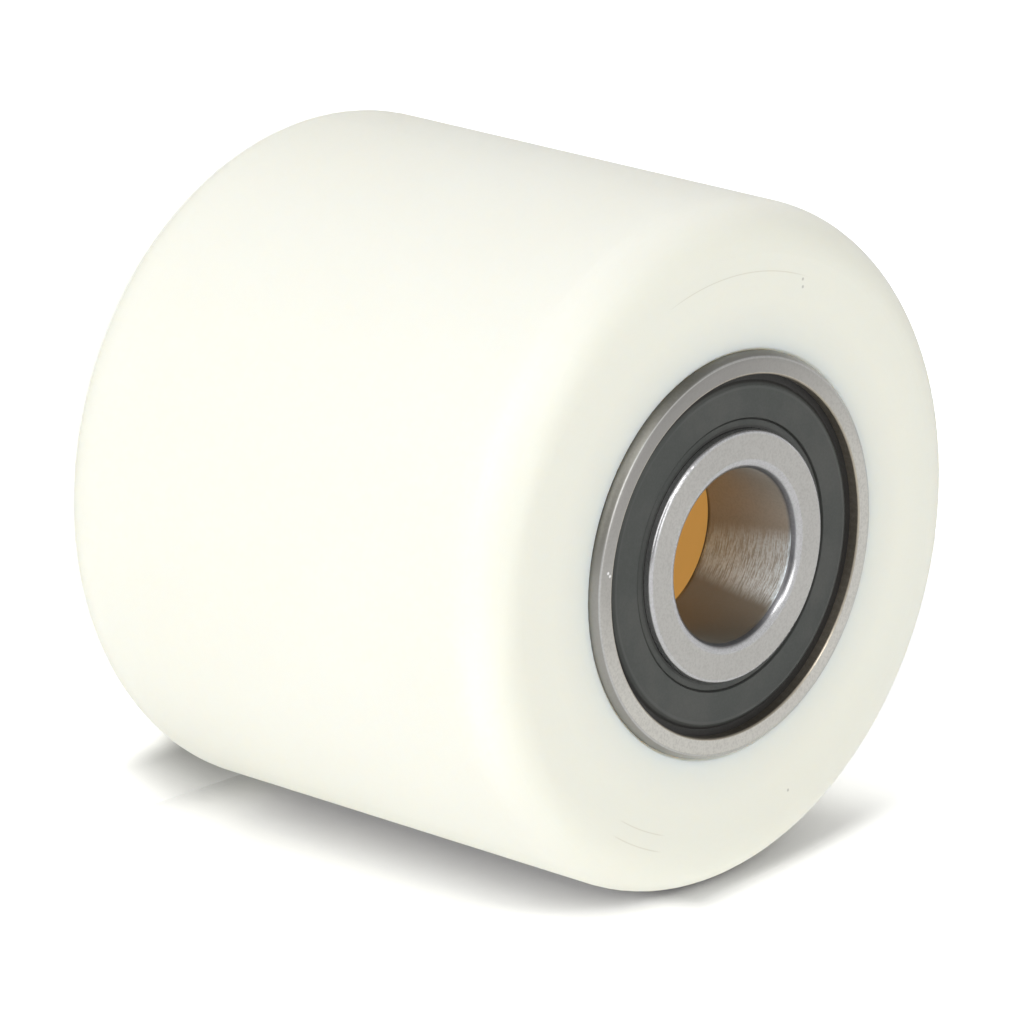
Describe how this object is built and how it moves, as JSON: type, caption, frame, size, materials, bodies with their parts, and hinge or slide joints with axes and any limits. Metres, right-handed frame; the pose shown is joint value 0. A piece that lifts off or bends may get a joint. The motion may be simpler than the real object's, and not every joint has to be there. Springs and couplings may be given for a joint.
{
  "type": "pallet truck fork roller",
  "caption": "White polyamide load roller for a pallet truck's fork tip, with a sealed ball bearing pressed into each end and a through bore for its axle.",
  "frame": {"origin": "on the roller's axis, in the plane of the lower bearing's outer face", "axes": "+Z along the roller's axis; the roller stands on its lower end"},
  "size_m": [0.08, 0.08, 0.07],
  "materials": {
    "nylon": "natural white polyamide, turned, slightly translucent",
    "ring_steel": "ground bearing steel",
    "ball_steel": "polished bearing steel",
    "cage_steel": "pressed sheet steel",
    "seal_plate": "pressed sheet steel",
    "seal_rubber": "moulded nitrile rubber, dark grey, matt"
  },
  "bodies": {
    "roller": {"roller_body": "nylon", "lower_outer_ring": "ring_steel", "lower_outboard_seal_rubber": "seal_rubber", "lower_outboard_seal_plate": "seal_plate", "lower_inboard_seal_rubber": "seal_rubber", "lower_inboard_seal_plate": "seal_plate", "upper_outer_ring": "ring_steel", "upper_outboard_seal_rubber": "seal_rubber", "upper_outboard_seal_plate": "seal_plate", "upper_inboard_seal_rubber": "seal_rubber", "upper_inboard_seal_plate": "seal_plate"},
    "lower_inner_ring_body": {"lower_inner_ring": "ring_steel"},
    "lower_cage": {"lower_cage_outboard_half": "cage_steel", "lower_cage_inboard_half": "cage_steel", "lower_cage_rivets": "cage_steel"},
    "lower_ball_1_body": {"lower_ball_1": "ball_steel"},
    "lower_ball_2_body": {"lower_ball_2": "ball_steel"},
    "lower_ball_3_body": {"lower_ball_3": "ball_steel"},
    "lower_ball_4_body": {"lower_ball_4": "ball_steel"},
    "lower_ball_5_body": {"lower_ball_5": "ball_steel"},
    "lower_ball_6_body": {"lower_ball_6": "ball_steel"},
    "lower_ball_7_body": {"lower_ball_7": "ball_steel"},
    "lower_ball_8_body": {"lower_ball_8": "ball_steel"},
    "upper_inner_ring_body": {"upper_inner_ring": "ring_steel"},
    "upper_cage": {"upper_cage_outboard_half": "cage_steel", "upper_cage_inboard_half": "cage_steel", "upper_cage_rivets": "cage_steel"},
    "upper_ball_1_body": {"upper_ball_1": "ball_steel"},
    "upper_ball_2_body": {"upper_ball_2": "ball_steel"},
    "upper_ball_3_body": {"upper_ball_3": "ball_steel"},
    "upper_ball_4_body": {"upper_ball_4": "ball_steel"},
    "upper_ball_5_body": {"upper_ball_5": "ball_steel"},
    "upper_ball_6_body": {"upper_ball_6": "ball_steel"},
    "upper_ball_7_body": {"upper_ball_7": "ball_steel"},
    "upper_ball_8_body": {"upper_ball_8": "ball_steel"}
  },
  "joints": [
    {"name": "lower_inner_ring_spin", "type": "hinge", "parent": "roller", "child": "lower_inner_ring_body", "pos_m": [0, 0, 0.007], "axis": [0, 0, 1], "continuous": true},
    {"name": "lower_cage_orbit", "type": "hinge", "parent": "roller", "child": "lower_cage", "pos_m": [0, 0, 0.007], "axis": [0, 0, 1], "continuous": true},
    {"name": "lower_ball_1_roll", "type": "hinge", "parent": "lower_cage", "child": "lower_ball_1_body", "pos_m": [0.01675, 0, 0.007], "axis": [0, 0, 1], "continuous": true},
    {"name": "lower_ball_2_roll", "type": "hinge", "parent": "lower_cage", "child": "lower_ball_2_body", "pos_m": [0.01184, -0.01184, 0.007], "axis": [0, 0, 1], "continuous": true},
    {"name": "lower_ball_3_roll", "type": "hinge", "parent": "lower_cage", "child": "lower_ball_3_body", "pos_m": [0, -0.01675, 0.007], "axis": [0, 0, 1], "continuous": true},
    {"name": "lower_ball_4_roll", "type": "hinge", "parent": "lower_cage", "child": "lower_ball_4_body", "pos_m": [-0.01184, -0.01184, 0.007], "axis": [0, 0, 1], "continuous": true},
    {"name": "lower_ball_5_roll", "type": "hinge", "parent": "lower_cage", "child": "lower_ball_5_body", "pos_m": [-0.01675, 0, 0.007], "axis": [0, 0, 1], "continuous": true},
    {"name": "lower_ball_6_roll", "type": "hinge", "parent": "lower_cage", "child": "lower_ball_6_body", "pos_m": [-0.01184, 0.01184, 0.007], "axis": [0, 0, 1], "continuous": true},
    {"name": "lower_ball_7_roll", "type": "hinge", "parent": "lower_cage", "child": "lower_ball_7_body", "pos_m": [0, 0.01675, 0.007], "axis": [0, 0, 1], "continuous": true},
    {"name": "lower_ball_8_roll", "type": "hinge", "parent": "lower_cage", "child": "lower_ball_8_body", "pos_m": [0.01184, 0.01184, 0.007], "axis": [0, 0, 1], "continuous": true},
    {"name": "upper_inner_ring_spin", "type": "hinge", "parent": "roller", "child": "upper_inner_ring_body", "pos_m": [0, 0, 0.063], "axis": [0, 0, 1], "continuous": true},
    {"name": "upper_cage_orbit", "type": "hinge", "parent": "roller", "child": "upper_cage", "pos_m": [0, 0, 0.063], "axis": [0, 0, 1], "continuous": true},
    {"name": "upper_ball_1_roll", "type": "hinge", "parent": "upper_cage", "child": "upper_ball_1_body", "pos_m": [0.01675, 0, 0.063], "axis": [0, 0, 1], "continuous": true},
    {"name": "upper_ball_2_roll", "type": "hinge", "parent": "upper_cage", "child": "upper_ball_2_body", "pos_m": [0.01184, 0.01184, 0.063], "axis": [0, 0, 1], "continuous": true},
    {"name": "upper_ball_3_roll", "type": "hinge", "parent": "upper_cage", "child": "upper_ball_3_body", "pos_m": [0, 0.01675, 0.063], "axis": [0, 0, 1], "continuous": true},
    {"name": "upper_ball_4_roll", "type": "hinge", "parent": "upper_cage", "child": "upper_ball_4_body", "pos_m": [-0.01184, 0.01184, 0.063], "axis": [0, 0, 1], "continuous": true},
    {"name": "upper_ball_5_roll", "type": "hinge", "parent": "upper_cage", "child": "upper_ball_5_body", "pos_m": [-0.01675, 0, 0.063], "axis": [0, 0, 1], "continuous": true},
    {"name": "upper_ball_6_roll", "type": "hinge", "parent": "upper_cage", "child": "upper_ball_6_body", "pos_m": [-0.01184, -0.01184, 0.063], "axis": [0, 0, 1], "continuous": true},
    {"name": "upper_ball_7_roll", "type": "hinge", "parent": "upper_cage", "child": "upper_ball_7_body", "pos_m": [0, -0.01675, 0.063], "axis": [0, 0, 1], "continuous": true},
    {"name": "upper_ball_8_roll", "type": "hinge", "parent": "upper_cage", "child": "upper_ball_8_body", "pos_m": [0.01184, -0.01184, 0.063], "axis": [0, 0, 1], "continuous": true}
  ],
  "couplings": [
    {"joint": "lower_cage_orbit", "follows": "lower_inner_ring_spin", "ratio": 0.38152},
    {"joint": "lower_ball_1_roll", "follows": "lower_inner_ring_spin", "ratio": -1.9916},
    {"joint": "lower_ball_2_roll", "follows": "lower_inner_ring_spin", "ratio": -1.9916},
    {"joint": "lower_ball_3_roll", "follows": "lower_inner_ring_spin", "ratio": -1.9916},
    {"joint": "lower_ball_4_roll", "follows": "lower_inner_ring_spin", "ratio": -1.9916},
    {"joint": "lower_ball_5_roll", "follows": "lower_inner_ring_spin", "ratio": -1.9916},
    {"joint": "lower_ball_6_roll", "follows": "lower_inner_ring_spin", "ratio": -1.9916},
    {"joint": "lower_ball_7_roll", "follows": "lower_inner_ring_spin", "ratio": -1.9916},
    {"joint": "lower_ball_8_roll", "follows": "lower_inner_ring_spin", "ratio": -1.9916},
    {"joint": "upper_cage_orbit", "follows": "upper_inner_ring_spin", "ratio": 0.38152},
    {"joint": "upper_ball_1_roll", "follows": "upper_inner_ring_spin", "ratio": -1.9916},
    {"joint": "upper_ball_2_roll", "follows": "upper_inner_ring_spin", "ratio": -1.9916},
    {"joint": "upper_ball_3_roll", "follows": "upper_inner_ring_spin", "ratio": -1.9916},
    {"joint": "upper_ball_4_roll", "follows": "upper_inner_ring_spin", "ratio": -1.9916},
    {"joint": "upper_ball_5_roll", "follows": "upper_inner_ring_spin", "ratio": -1.9916},
    {"joint": "upper_ball_6_roll", "follows": "upper_inner_ring_spin", "ratio": -1.9916},
    {"joint": "upper_ball_7_roll", "follows": "upper_inner_ring_spin", "ratio": -1.9916},
    {"joint": "upper_ball_8_roll", "follows": "upper_inner_ring_spin", "ratio": -1.9916}
  ]
}
